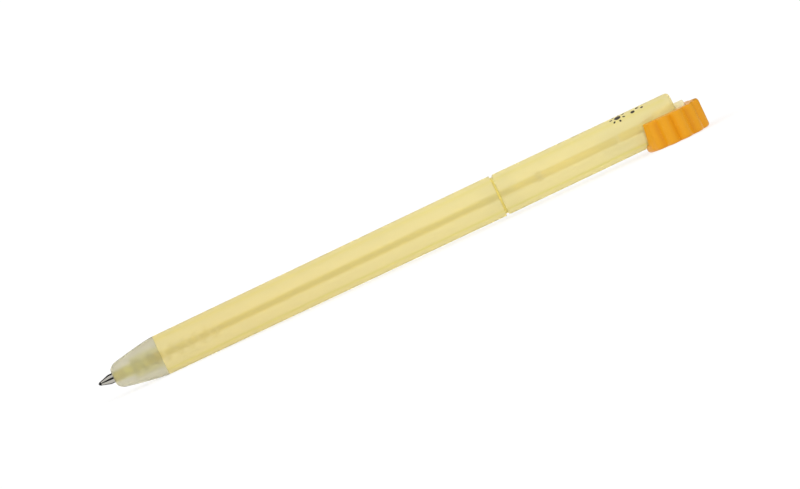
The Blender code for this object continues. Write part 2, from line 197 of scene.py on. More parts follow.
def applyBoolean(piece, bm, operation):
    bmesh.ops.recalc_face_normals(bm, faces=bm.faces)
    tool = objectFrom(bm, "tool")
    modifier = piece.modifiers.new("cut", "BOOLEAN")
    modifier.operation = operation
    modifier.object = tool
    bpy.context.view_layer.update()
    evaluated = piece.evaluated_get(bpy.context.evaluated_depsgraph_get())
    result = bpy.data.meshes.new_from_object(evaluated)
    spent = (piece.data, tool.data)
    piece.modifiers.clear()
    piece.data = result
    bpy.data.objects.remove(tool)
    for mesh in spent:
        bpy.data.meshes.remove(mesh)
    smoothMesh(result)


# shader helpers

white = (1, 1, 1, 1)
surfaceDetail = {
    "flowDetail": 3,             # octaves of the noises
    "fineDetail": 2,
    "rubDetail": 4,
    "rubStretch": 0.06,          # the rubs run along the pen
    "rubFrom": 0.62,             # noise where a rub starts, and where it is full
    "rubFull": 0.74,
    "plasticBump": 0.02 * mm,
    "metalBump": 0.01 * mm,
    "grooveWaver": 1.5,
}


def linearColor(red, green, blue):
    # sRGB tone, 0 to 255, as a linear colour
    channels = []
    for value in (red, green, blue):
        share = value / 255
        channels.append(share / 12.92 if share <= 0.04045 else ((share + 0.055) / 1.055) ** 2.4)
    return (*channels, 1.0)


def newGroup(name, inputs, outputs):
    group = bpy.data.node_groups.new(name, "ShaderNodeTree")
    for label, kind, value in inputs:
        socket = group.interface.new_socket(label, in_out="INPUT", socket_type=kind)
        socket.default_value = value
    for label, kind in outputs:
        group.interface.new_socket(label, in_out="OUTPUT", socket_type=kind)
    return group, group.nodes.new("NodeGroupInput"), group.nodes.new("NodeGroupOutput")


def addNode(tree, kind, **settings):
    node = tree.nodes.new(kind)
    for key, value in settings.items():
        setattr(node, key, value)
    return node


def buildMouldedSkin():
    # faint orange-peel height, roughness drift and tone drift of a moulded surface
    group, given, result = newGroup(
        "mouldedSkin",
        [("Tone A", "NodeSocketColor", white), ("Tone B", "NodeSocketColor", white),
         ("Roughness", "NodeSocketFloat", 0.4), ("Drift", "NodeSocketFloat", 0.05),
         ("Fine Scale", "NodeSocketFloat", 2500.0), ("Flow Scale", "NodeSocketFloat", 60.0)],
        [("Color", "NodeSocketColor"), ("Roughness", "NodeSocketFloat"), ("Height", "NodeSocketFloat")])
    links = group.links
    place = addNode(group, "ShaderNodeTexCoord")
    flow = addNode(group, "ShaderNodeTexNoise")
    flow.inputs["Detail"].default_value = surfaceDetail["flowDetail"]
    fine = addNode(group, "ShaderNodeTexNoise")
    fine.inputs["Detail"].default_value = surfaceDetail["fineDetail"]
    links.new(place.outputs["Object"], flow.inputs["Vector"])
    links.new(place.outputs["Object"], fine.inputs["Vector"])
    links.new(given.outputs["Flow Scale"], flow.inputs["Scale"])
    links.new(given.outputs["Fine Scale"], fine.inputs["Scale"])
    tone = addNode(group, "ShaderNodeMix", data_type="RGBA")
    links.new(flow.outputs["Fac"], tone.inputs["Factor"])
    links.new(given.outputs["Tone A"], tone.inputs["A"])
    links.new(given.outputs["Tone B"], tone.inputs["B"])
    centred = addNode(group, "ShaderNodeMath", operation="SUBTRACT")
    centred.inputs[1].default_value = 0.5
    links.new(flow.outputs["Fac"], centred.inputs[0])
    drift = addNode(group, "ShaderNodeMath", operation="MULTIPLY_ADD")
    links.new(centred.outputs[0], drift.inputs[0])
    links.new(given.outputs["Drift"], drift.inputs[1])
    links.new(given.outputs["Roughness"], drift.inputs[2])
    links.new(tone.outputs["Result"], result.inputs["Color"])
    links.new(drift.outputs[0], result.inputs["Roughness"])
    links.new(fine.outputs["Fac"], result.inputs["Height"])
    return group


def buildHandling():
    # hairline rubs along the pen and a few dust specks, as masks
    group, given, result = newGroup(
        "handling",
        [("Rub Scale", "NodeSocketFloat", 900.0), ("Speck Scale", "NodeSocketFloat", 700.0),
         ("Speck Size", "NodeSocketFloat", 0.06)],
        [("Rubs", "NodeSocketFloat"), ("Specks", "NodeSocketFloat")])
    links = group.links
    place = addNode(group, "ShaderNodeTexCoord")
    stretch = addNode(group, "ShaderNodeMapping")
    stretch.inputs["Scale"].default_value = (surfaceDetail["rubStretch"], 1, 1)
    links.new(place.outputs["Object"], stretch.inputs["Vector"])
    rubs = addNode(group, "ShaderNodeTexNoise")
    rubs.inputs["Detail"].default_value = surfaceDetail["rubDetail"]
    links.new(stretch.outputs["Vector"], rubs.inputs["Vector"])
    links.new(given.outputs["Rub Scale"], rubs.inputs["Scale"])
    sharpen = addNode(group, "ShaderNodeMapRange")
    sharpen.inputs["From Min"].default_value = surfaceDetail["rubFrom"]
    sharpen.inputs["From Max"].default_value = surfaceDetail["rubFull"]
    links.new(rubs.outputs["Fac"], sharpen.inputs["Value"])
    cells = addNode(group, "ShaderNodeTexVoronoi")
    links.new(place.outputs["Object"], cells.inputs["Vector"])
    links.new(given.outputs["Speck Scale"], cells.inputs["Scale"])
    speck = addNode(group, "ShaderNodeMath", operation="LESS_THAN")
    links.new(cells.outputs["Distance"], speck.inputs[0])
    links.new(given.outputs["Speck Size"], speck.inputs[1])
    links.new(sharpen.outputs["Result"], result.inputs["Rubs"])
    links.new(speck.outputs[0], result.inputs["Specks"])
    return group


def buildLengthFade():
    # mask for painted shade along the pen: falls from 1 to 0 between two places in metres
    group, given, result = newGroup(
        "lengthFade", [("Full At", "NodeSocketFloat", 0.0), ("None At", "NodeSocketFloat", 1.0)],
        [("Share", "NodeSocketFloat")])
    place = addNode(group, "ShaderNodeTexCoord")
    split = addNode(group, "ShaderNodeSeparateXYZ")
    group.links.new(place.outputs["Object"], split.inputs["Vector"])
    ramp = addNode(group, "ShaderNodeMapRange", interpolation_type="SMOOTHSTEP")
    ramp.inputs["To Min"].default_value = 1.0
    ramp.inputs["To Max"].default_value = 0.0
    group.links.new(split.outputs["X"], ramp.inputs["Value"])
    group.links.new(given.outputs["Full At"], ramp.inputs["From Min"])
    group.links.new(given.outputs["None At"], ramp.inputs["From Max"])
    group.links.new(ramp.outputs["Result"], result.inputs["Share"])
    return group


mouldedSkin = buildMouldedSkin()
handling = buildHandling()
lengthFade = buildLengthFade()
print("shared surface effects ready")


# finishes

plainPlastic = {
    "roughness": 0.4, "drift": 0.06, "fineScale": 2400.0, "flowScale": 60.0, "bump": 0.1,
    "ior": 1.48, "transmission": 0.0, "alpha": 1.0,
    "dust": (250, 244, 224), "dustShare": 0.1, "rubShare": 0.04,
}
plainMetal = {
    "drift": 0.06, "fineScale": 3000.0, "flowScale": 300.0, "bump": 0.1,
    "grooveScale": 4000.0, "grooveShare": 0.05,
}


def newMaterial(name):
    material = bpy.data.materials.new(name)
    material.use_nodes = True
    tree = material.node_tree
    return material, tree, tree.nodes["Principled BSDF"]


def skinnedMaterial(name, look):
    material, tree, shader = newMaterial(name)
    skin = addNode(tree, "ShaderNodeGroup", node_tree=mouldedSkin)
    skin.inputs["Tone A"].default_value = linearColor(*look["toneA"])
    skin.inputs["Tone B"].default_value = linearColor(*look["toneB"])
    skin.inputs["Roughness"].default_value = look["roughness"]
    skin.inputs["Drift"].default_value = look["drift"]
    skin.inputs["Fine Scale"].default_value = look["fineScale"]
    skin.inputs["Flow Scale"].default_value = look["flowScale"]
    return material, tree, shader, skin


def mixTone(tree, share, start, tone):
    # colour that goes from a socket's colour to a tone as the share rises
    mix = addNode(tree, "ShaderNodeMix", data_type="RGBA")
    mix.inputs["B"].default_value = linearColor(*tone)
    tree.links.new(share, mix.inputs["Factor"])
    tree.links.new(start, mix.inputs["A"])
    return mix.outputs["Result"]


def linkRoughness(tree, shader, skin, marks, share):
    # the skin's own roughness, and a share of the marks
    rough = addNode(tree, "ShaderNodeMath", operation="MULTIPLY_ADD")
    rough.inputs[1].default_value = share
    tree.links.new(marks, rough.inputs[0])
    tree.links.new(skin.outputs["Roughness"], rough.inputs[2])
    tree.links.new(rough.outputs[0], shader.inputs["Roughness"])


def linkBump(tree, shader, height, strength, distance):
    bump = addNode(tree, "ShaderNodeBump")
    bump.inputs["Strength"].default_value = strength
    bump.inputs["Distance"].default_value = distance
    tree.links.new(height, bump.inputs["Height"])
    tree.links.new(bump.outputs["Normal"], shader.inputs["Normal"])


def plasticMaterial(name, given):
    look = {**plainPlastic, **given}
    material, tree, shader, skin = skinnedMaterial(name, look)
    tone = skin.outputs["Color"]
    # painted shade: the tone darkens along the pen towards a given tone
    if "paintedShade" in look:
        paintedShade = addNode(tree, "ShaderNodeGroup", node_tree=lengthFade)
        paintedShade.inputs["Full At"].default_value = look["paintedShade"]["fullAt"]
        paintedShade.inputs["None At"].default_value = look["paintedShade"]["noneAt"]
        tone = mixTone(tree, paintedShade.outputs["Share"], tone, look["paintedShade"]["tone"])
    if "rim" in look:
        # colour by facing: a tone is mixed in where the plastic is seen edge on, partly for the longer path
        # through the plastic, partly as painted edge shade
        facing = addNode(tree, "ShaderNodeLayerWeight")
        edge = addNode(tree, "ShaderNodeMapRange", interpolation_type="SMOOTHSTEP")
        edge.inputs["From Min"].default_value = look["rim"]["start"]
        edge.inputs["From Max"].default_value = look["rim"]["full"]
        tree.links.new(facing.outputs["Facing"], edge.inputs["Value"])
        tone = mixTone(tree, edge.outputs["Result"], tone, look["rim"]["tone"])
    marks = addNode(tree, "ShaderNodeGroup", node_tree=handling)
    dusted = addNode(tree, "ShaderNodeMath", operation="MULTIPLY")
    dusted.inputs[1].default_value = look["dustShare"]
    tree.links.new(marks.outputs["Specks"], dusted.inputs[0])
    tone = mixTone(tree, dusted.outputs[0], tone, look["dust"])
    tree.links.new(tone, shader.inputs["Base Color"])
    linkRoughness(tree, shader, skin, marks.outputs["Rubs"], look["rubShare"])
    linkBump(tree, shader, skin.outputs["Height"], look["bump"], surfaceDetail["plasticBump"])
    shader.inputs["IOR"].default_value = look["ior"]
    shader.inputs["Transmission Weight"].default_value = look["transmission"]
    shader.inputs["Alpha"].default_value = look["alpha"]
    return material


def metalMaterial(name, given):
    look = {**plainMetal, **given}
    material, tree, shader, skin = skinnedMaterial(name, look)
    tree.links.new(skin.outputs["Color"], shader.inputs["Base Color"])
    # turning marks run round the axis
    place = addNode(tree, "ShaderNodeTexCoord")
    grooves = addNode(tree, "ShaderNodeTexWave", bands_direction="X")
    grooves.inputs["Scale"].default_value = look["grooveScale"]
    grooves.inputs["Distortion"].default_value = surfaceDetail["grooveWaver"]
    tree.links.new(place.outputs["Object"], grooves.inputs["Vector"])
    linkRoughness(tree, shader, skin, grooves.outputs["Fac"], look["grooveShare"])
    linkBump(tree, shader, grooves.outputs["Fac"], look["bump"], surfaceDetail["metalBump"])
    shader.inputs["Metallic"].default_value = 1.0
    return material


milkyYellow = plasticMaterial("milkyYellow", {
    "toneA": (247, 236, 178), "toneB": (245, 233, 172), "roughness": 0.5, "drift": 0.08,
    "fineScale": 2600.0, "bump": 0.12, "ior": 1.06, "transmission": 0.55,
    # painted shade: the barrel is darker towards the nose, where less light falls
    "paintedShade": {"tone": (242, 228, 168), "fullAt": -50 * mm, "noneAt": 34 * mm},
    "dust": (250, 246, 232), "dustShare": 0.25, "rubShare": 0.06,
})
clearBore = plasticMaterial("clearBore", {
    "toneA": (255, 253, 246), "toneB": (253, 250, 240), "roughness": 0.02, "drift": 0.01,
    "fineScale": 2600.0, "bump": 0.01, "ior": 1.01, "transmission": 1.0,
    # yellow tint where the bore is seen edge on: partly the longer path through the tinted wall, partly a
    # painted line for light bent at the bore's edge
    "rim": {"tone": (246, 246, 4), "start": 0.45, "full": 0.75},
    "dust": (250, 246, 232),
})
# mostly let through, because many clear walls behind one another would look dark
clearSleeve = plasticMaterial("clearSleeve", {
    "toneA": (255, 255, 253), "toneB": (254, 254, 250), "roughness": 0.04, "drift": 0.02,
    "fineScale": 2600.0, "bump": 0.01, "ior": 1.01, "transmission": 1.0, "alpha": 0.12,
    "dust": (250, 246, 232),
})
coneBore = plasticMaterial("coneBore", {
    "toneA": (244, 242, 192), "toneB": (240, 237, 182), "roughness": 0.12, "drift": 0.04,
    "fineScale": 2600.0, "bump": 0.03, "ior": 1.15, "transmission": 1.0,
    "dust": (250, 246, 232),
})
seamYellow = plasticMaterial("seamYellow", {
    "toneA": (238, 221, 126), "toneB": (234, 216, 116), "dust": (250, 240, 200),
})
holderYellow = plasticMaterial("holderYellow", {
    "toneA": (240, 236, 166), "toneB": (235, 230, 156),
})
frostedClear = plasticMaterial("frostedClear", {
    "toneA": (222, 218, 197), "toneB": (218, 213, 190), "roughness": 0.7,
    "fineScale": 3200.0, "bump": 0.2, "ior": 1.2, "transmission": 0.75,
    # painted edge shade: darker grey where the cone is seen edge on, which outlines it
    "rim": {"tone": (184, 175, 146), "start": 0.68, "full": 0.97},
    "dust": (250, 248, 242), "dustShare": 0.2, "rubShare": 0.05,
})
satinOrange = plasticMaterial("satinOrange", {
    "toneA": (232, 161, 26), "toneB": (227, 154, 22), "drift": 0.08, "bump": 0.15, "ior": 1.3,
    "dust": (250, 220, 170), "dustShare": 0.15, "rubShare": 0.05,
})
satinYellow = plasticMaterial("satinYellow", {
    "toneA": (250, 240, 196), "toneB": (247, 235, 186), "bump": 0.12,
    "dustShare": 0.15, "rubShare": 0.05,
})
coreYellow = plasticMaterial("coreYellow", {
    "toneA": (238, 222, 114), "toneB": (232, 216, 104), "ior": 1.3,
})
naturalPlastic = plasticMaterial("naturalPlastic", {
    "toneA": (222, 208, 142), "toneB": (214, 199, 130), "roughness": 0.3, "drift": 0.04,
    "bump": 0.05, "transmission": 0.3, "rubShare": 0.03,
})
tubePlastic = plasticMaterial("tubePlastic", {
    "toneA": (252, 238, 92), "toneB": (248, 232, 82), "roughness": 0.25, "drift": 0.04,
    "bump": 0.04, "transmission": 0.35, "dust": (230, 220, 180), "rubShare": 0.05,
})
blackInk = plasticMaterial("blackInk", {
    "toneA": (26, 24, 28), "toneB": (18, 17, 20), "roughness": 0.25, "drift": 0.05,
    "fineScale": 900.0, "bump": 0.05, "ior": 1.45, "dust": (30, 28, 32), "rubShare": 0.02,
})
darkPrint = plasticMaterial("darkPrint", {
    "toneA": (44, 30, 22), "toneB": (34, 23, 17), "roughness": 0.5, "drift": 0.08,
    "fineScale": 4000.0, "ior": 1.45, "dust": (110, 96, 80), "dustShare": 0.15, "rubShare": 0.08,
})
# black of the inked ball, also put on the tip's rim as ink and as painted shade
inkAndShadeBlack = plasticMaterial("inkAndShadeBlack", {
    "toneA": (16, 14, 15), "toneB": (10, 9, 10), "roughness": 0.5, "drift": 0.1,
    "fineScale": 6000.0, "bump": 0.05, "ior": 1.3, "dust": (40, 38, 38),
})
polishedSteel = metalMaterial("polishedSteel", {
    "toneA": (190, 187, 178), "toneB": (178, 174, 165), "roughness": 0.1, "drift": 0.05,
})
brassSocket = metalMaterial("brassSocket", {
    "toneA": (232, 224, 160), "toneB": (224, 214, 148), "roughness": 0.35,
})
springWire = metalMaterial("springWire", {
    "toneA": (216, 216, 180), "toneB": (204, 204, 166), "roughness": 0.28, "drift": 0.08,
    "flowScale": 500.0, "grooveScale": 2500.0, "grooveShare": 0.06,
})
# paler copy of the spring wire, painted light for the coils behind the milky wall
paintedLightWire = metalMaterial("paintedLightWire", {
    "toneA": (252, 248, 224), "toneB": (247, 242, 214), "roughness": 0.5,
    "flowScale": 500.0, "grooveScale": 2500.0, "grooveShare": 0.06,
})
print("finishes ready")


# nose cone

noseCone = {
    "land": 1.4 * mm,            # length of the front hole
    "holeRadius": 1.28 * mm,
    "frontRadius": 2.66 * mm,    # where the flank would meet the front face
    "frontRound": 1.3 * mm,
    "frontRoundLength": 1.8 * mm,
    "curve": 1.3,                # how full the flank is
    "seatDepth": 4.9 * mm,
    "holderBore": 1.43 * mm,
    "springBore": 2.5 * mm,
    "seamRound": 0.05 * mm,
    "seamGap": 0.03 * mm,        # to the lower barrel
    "spigotGap": 0.1 * mm,       # in the lower barrel's bore
    "flankSteps": 28,
}


def makeNoseCone():
    spec = noseCone
    front = startOf("nose_cone")
    spigotEnd = endOf("nose_cone")
    seam = startOf("lower_barrel") - spec["seamGap"]
    length = seam - front
    seamRadius = radiusOf("nose_cone")
    spigotRadius = boreRadius - spec["spigotGap"]

    def flank(along):
        share = 1 - max(0.0, 1 - along / length) ** spec["curve"]
        return spec["frontRadius"] + (seamRadius - spec["frontRadius"]) * share

    outline = [(front, spec["holeRadius"])]
    roundSteps = meshDetail["arcSteps"] * 2
    for step in range(roundSteps + 1):
        angle = math.pi / 2 * step / roundSteps
        along = spec["frontRoundLength"] * (1 - math.cos(angle))
        outline.append((front + along, flank(along) - spec["frontRound"] * (1 - math.sin(angle))))
    seamRound = spec["seamRound"]
    flankLength = length - seamRound - spec["frontRoundLength"]
    for step in range(1, spec["flankSteps"]):
        along = spec["frontRoundLength"] + flankLength * step / spec["flankSteps"]
        outline.append((front + along, flank(along)))
    outline += arcPoints(seam - seamRound, seamRadius - seamRound, seamRound, 90, 0, meshDetail["edgeSteps"])
    outline += [
        (seam, spigotRadius),
        (spigotEnd, spigotRadius),
        (spigotEnd, spec["springBore"]),
        (seam, spec["springBore"]),
        (front + spec["seatDepth"], spec["springBore"]),
        (front + spec["seatDepth"], spec["holderBore"]),
        (front + spec["land"], spec["holderBore"]),
        (front + spec["land"], spec["holeRadius"]),
    ]
    cone = lathe("noseConeShell", outline, frostedClear, meshDetail["barrelSides"])
    inward = meshDetail["inward"]
    slack = meshDetail["slack"]
    addFinish(cone, coneBore, lambda centre, outward: outward < inward or centre.x > seam - slack)
    addFinish(cone, clearSleeve, lambda centre, outward: centre.x > seam + slack)
    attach(cone, "barrel")
    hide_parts("nose_cone")


# barrels and the ring that couples them

barrels = {
    "wall": 1.19 * mm,
    "tailWall": 1.1 * mm,
    "lowerFrontRound": 0.05 * mm,
    "lowerBackRound": 0.2 * mm,
    "backRoundSteps": 4,
    "upperFrontRound": 0.5 * mm,
    "upperEndRound": 1.0 * mm,
    "endRoundSteps": 10,
    "endWall": 1.5 * mm,
    "rodHole": 2.1 * mm,
    "holeRound": 0.15 * mm,
    "lengthSteps": 12,
    "guideLength": 18.0 * mm,    # ribs inside the upper barrel
    "guideBore": 2.2 * mm,
    "guideWidth": 1.2 * mm,
    "guideSlope": 0.8 * mm,
    "guideRoot": 0.5 * mm,       # how deep the ribs run into the walls
    "guideEdge": 0.05 * mm,      # a face this far inside the bore belongs to a rib
}
boreRadius = radiusOf("upper_barrel") - barrels["wall"]


def makeLowerBarrel():
    spec = barrels
    front = startOf("lower_barrel")
    back = endOf("lower_barrel")
    frontRadius = radiusOf("nose_cone")
    backRadius = radiusOf("lower_barrel")
    frontRound = spec["lowerFrontRound"]
    backRound = spec["lowerBackRound"]
    outline = [(front, boreRadius)]
    outline += arcPoints(front + frontRound, frontRadius - frontRound, frontRound, 180, 90,
                         meshDetail["edgeSteps"])
    for step in range(1, spec["lengthSteps"]):
        share = step / spec["lengthSteps"]
        outline.append((front + (back - front) * share, frontRadius + (backRadius - frontRadius) * share))
    outline += arcPoints(back - backRound, backRadius - backRound, backRound, 90, 0, spec["backRoundSteps"])
    outline.append((back, boreRadius))
    barrel = lathe("lowerBarrelShell", outline, milkyYellow, meshDetail["barrelSides"])
    addFinish(barrel, clearBore, lambda centre, outward: outward < meshDetail["inward"])
    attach(barrel, "barrel")
    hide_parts("lower_barrel")


def makeUpperBarrel():
    spec = barrels
    front = startOf("upper_barrel")
    back = endOf("upper_barrel")
    radius = radiusOf("upper_barrel")
    tailRadius = boreRadius + spec["tailWall"]
    frontRound = spec["upperFrontRound"]
    endRound = spec["upperEndRound"]
    holeRound = spec["holeRound"]
    hole = spec["rodHole"]
    inside = back - spec["endWall"]
    outline = [(front, boreRadius)]
    outline += arcPoints(front + frontRound, radius - frontRound, frontRound, 180, 90)
    outline += arcPoints(back - endRound, tailRadius - endRound, endRound, 90, 0, spec["endRoundSteps"])
    outline += arcPoints(back - holeRound, hole + holeRound, holeRound, 0, -90, meshDetail["edgeSteps"])
    outline += [(inside, hole), (inside, boreRadius)]
    barrel = lathe("upperBarrelShell", outline, milkyYellow, meshDetail["barrelSides"])
    # guide ribs with sloped front ends, rooted in the wall and in the end wall
    half = spec["guideWidth"] / 2
    ribEnd = spec["guideLength"] + spec["guideRoot"]
    ribOutline = [(0, -half), (ribEnd, -half), (ribEnd, half), (spec["guideSlope"], half)]
    ribs = ribTool(ribOutline, inside - spec["guideLength"], spec["guideBore"],
                   boreRadius + spec["guideRoot"], math.pi / 4)
    applyBoolean(barrel, ribs, "UNION")
    slack = meshDetail["slack"]
    ribReach = boreRadius - spec["guideEdge"]
    addFinish(barrel, clearBore, lambda centre, outward: (
        spokeOf(centre).length < boreRadius + slack and centre.x < inside + slack))
    addFinish(barrel, clearSleeve, lambda centre, outward: (
        spokeOf(centre).length < ribReach and centre.x < inside - slack))
    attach(barrel, "barrel")
    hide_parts("upper_barrel")


coupling = {
    "wall": 0.8 * mm,
    "flangeInset": 0.45 * mm,
    "gap": 0.1 * mm,
    "flangeGap": 0.02 * mm,
    "flangeRound": 0.06 * mm,
}


def makeCoupling():
    spec = coupling
    front = startOf("coupling_sleeve")
    back = endOf("coupling_sleeve")
    outer = boreRadius - spec["gap"]
    bore = outer - spec["wall"]
    flange = radiusOf("upper_barrel") - spec["flangeInset"]
    flangeFront = endOf("lower_barrel") + spec["flangeGap"]
    flangeBack = startOf("upper_barrel") - spec["flangeGap"]
    soft = spec["flangeRound"]
    outline = [(front, bore), (front, outer), (flangeFront, outer)]
    steps = meshDetail["edgeSteps"]
    outline += arcPoints(flangeFront + soft, flange - soft, soft, 180, 90, steps)
    outline += arcPoints(flangeBack - soft, flange - soft, soft, 90, 0, steps)
    outline += [(flangeBack, outer), (back, outer), (back, bore)]
    ring = lathe("couplingRing", outline, seamYellow, meshDetail["barrelSides"])
    limit = outer + meshDetail["slack"]
    addFinish(ring, clearSleeve, lambda centre, outward: spokeOf(centre).length < limit)
    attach(ring, "barrel")
    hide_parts("coupling_sleeve")


# knock: push rod and scalloped knob

pushRod = {
    "radius": 1.95 * mm,
    "endRound": 0.4 * mm,
    "stemBore": 1.05 * mm,
    "stemDepth": 5.15 * mm,
    "ribWidth": 1.1 * mm,
    "ribReach": 2.6 * mm,
    "ribStart": 1.65 * mm,       # from the rod's front end
    "ribLength": 8.0 * mm,
    "ribRoot": 0.3 * mm,         # from the stem's bore out to the ribs' roots
    "studRadius": 1.2 * mm,
    "studDrop": 1.2 * mm,
    "studLength": 2.0 * mm,
    "studRoot": 0.5 * mm,        # how deep the stud runs into the rod
    "coreRadius": 0.95 * mm,     # coloured core of the clear rod
    "rotorCore": 0.85 * mm,      # coloured core of the clear rotor
    "coreInset": 0.05 * mm,
    "tailLength": 7.8 * mm,      # coloured length at the tail, with what the knock draws out
}


def makeCore(name, front, back, radius, body):
    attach(lathe(name, blockOutline(front, back, radius), coreYellow), body)


def makeRotorCore():
    front = startOf("cam_rotor") + pushRod["coreInset"]
    back = endOf("cam_rotor") - pushRod["coreInset"]
    makeCore("rotorCore", front, back, pushRod["rotorCore"], "rotor")


def makePushRod():
    spec = pushRod
    front = startOf("push_rod")
    stemEnd = front + spec["stemDepth"]
    back = endOf("push_rod") - spec["studLength"]
    tail = back - spec["tailLength"]
    radius = spec["radius"]
    endRound = spec["endRound"]
    outline = [(stemEnd, 0), (stemEnd, spec["stemBore"]), (front, spec["stemBore"]), (front, radius)]
    outline.append((tail, radius))
    outline += arcPoints(back - endRound, radius - endRound, endRound, 90, 0)
    outline.append((back, 0))
    rod = lathe("pushRodBody", outline, satinYellow)
    half = spec["ribWidth"] / 2
    ribOutline = [(0, -half), (spec["ribLength"], -half), (spec["ribLength"], half), (0, half)]
    ribFoot = spec["stemBore"] + spec["ribRoot"]
    ribs = ribTool(ribOutline, front + spec["ribStart"], ribFoot, spec["ribReach"], 0)
    applyBoolean(rod, ribs, "UNION")
    stud = pegTool(back - spec["studRoot"], back + spec["studLength"], spec["studRadius"], spec["studDrop"])
    applyBoolean(rod, stud, "UNION")
    addFinish(rod, clearSleeve, lambda centre, outward: centre.x < tail)
    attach(rod, "knock")
    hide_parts("push_rod")
    coreFront = stemEnd + spec["coreInset"]
    coreBack = back - spec["coreInset"]
    makeCore("pushRodCore", coreFront, coreBack, spec["coreRadius"], "knock")


knob = {
    "lobes": 12,
    "lobeSteps": 14,
    "groove": 0.95 * mm,         # depth of the valleys between the lobes
    "plainTo": math.radians(33),         # no valleys this near to the front end
    "groovedFrom": math.radians(50),     # full valleys from here on
    "valley": 0.15,              # how wide the valleys' bottoms are rounded
    "faceRound": 0.5 * mm,
    "faceSteps": 8,
    "backRound": 0.7 * mm,
    "backSteps": 10,
    "channelGap": 0.15 * mm,
    "channelSteps": 48,
    "toeHeight": 1.9 * mm,       # the side walls end blunt above the toe
    "trimLow": 0.7 * mm,
    "trimHigh": 1.5 * mm,
    "tailWall": 3.3 * mm,
    "studGap": 0.1 * mm,
    "cutMargin": 1 * mm,         # how far a cutter starts outside what it cuts
}


def knobOutline():
    spec = knob
    low, high = nodeBox("knock_knob")
    count = spec["lobes"] * spec["lobeSteps"]
    depth = spec["groove"] * 2 / (high.x - low.x)
    points = []
    for index in range(count):
        angle = 2 * math.pi * index / count
        wave = math.hypot(math.sin(angle * spec["lobes"] / 2), spec["valley"])
        swell = (wave - spec["valley"]) / (math.hypot(1, spec["valley"]) - spec["valley"])
        share = (abs(angle - math.pi) - spec["plainTo"]) / (spec["groovedFrom"] - spec["plainTo"])
        radius = 1 - depth * (1 - swell) * min(1, max(0, share))
        points.append((radius * math.cos(angle), radius * math.sin(angle)))
    reachX = max(abs(x) for x, y in points)
    reachY = max(abs(y) for x, y in points)
    return [(x / reachX, y / reachY) for x, y in points]


def makeKnob():
    spec = knob
    low, high = nodeBox("knock_knob")
    middle = (low + high) / 2
    halfLength = (high.x - low.x) / 2
    halfWidth = (high.y - low.y) / 2
    backRound = spec["backRound"]
    faceRound = spec["faceRound"]
    levels = arcPoints(-backRound, low.z + backRound, backRound, -90, 0, spec["backSteps"])
    levels += arcPoints(-faceRound, high.z - faceRound, faceRound, 0, 90, spec["faceSteps"])
    outline = knobOutline()
    bm = bmesh.new()
    rings = []
    for inset, height in levels:
        rings.append([bm.verts.new((middle.x + x * (halfLength + inset), y * (halfWidth + inset), height))
                      for x, y in outline])
    skinRings(bm, rings)
    piece = finishObject(bm, "scallopedKnob", satinOrange)
    # channel for the barrel, open at the face
    reach = radiusOf("upper_barrel") + spec["channelGap"]
    seat = high.x - spec["tailWall"]
    section = [(reach, reach * 2), (-reach, reach * 2)]
    section += arcPoints(0, 0, reach, 180, 360, spec["channelSteps"])
    channel = bmesh.new()
    facing = Matrix(((0, 0, 1, seat), (1, 0, 0, 0), (0, 1, 0, axisZ), (0, 0, 0, 1)))
    addPrism(channel, section, -(high.x - low.x), 0, facing)
    applyBoolean(piece, channel, "DIFFERENCE")
    # blunt ends of the side walls
    toe = low.z + spec["toeHeight"]
    above = high.z + spec["cutMargin"]
    ahead = low.x - spec["cutMargin"]
    trim = [(ahead, toe), (low.x + spec["trimLow"], toe), (low.x + spec["trimHigh"], above), (ahead, above)]
    wallEnds = bmesh.new()
    upright = Matrix(((1, 0, 0, 0), (0, 0, -1, 0), (0, 1, 0, 0), (0, 0, 0, 1)))
    addPrism(wallEnds, trim, -2 * halfWidth, 2 * halfWidth, upright)
    applyBoolean(piece, wallEnds, "DIFFERENCE")
    # hole for the push rod's stud
    hole = pegTool(seat - spec["cutMargin"], seat + pushRod["studLength"],
                   pushRod["studRadius"] + spec["studGap"], pushRod["studDrop"])
    applyBoolean(piece, hole, "DIFFERENCE")
    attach(piece, "knock")
    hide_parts("knock_knob")


# printed ornament on the upper barrel

ornament = {
    "centre": 56.5 * mm,         # along the pen
    "azimuth": 68.0,             # degrees up from the front
    "lift": 0.012 * mm,          # of the print's top and of its underside
    "underLift": 0.004 * mm,
    "dotRadius": 0.8 * mm,
    "discSteps": 8,
    "rays": 7,
    "rayStart": 1.25 * mm,
    "rayEnd": 1.95 * mm,
    "rayWidth": 0.45 * mm,
    "rayFullness": 4,            # how square the rays' ends are
    "rayBlunt": 0.08,            # the least square of their width
    "raySteps": 8,
    "rayEdges": (-1, -0.5, 0, 0.5, 1),
    "beads": ((3.7, -0.5, 0.5), (4.9, 0.45, 0.42), (6.0, -0.3, 0.34)),   # mm along, mm across, mm radius
}


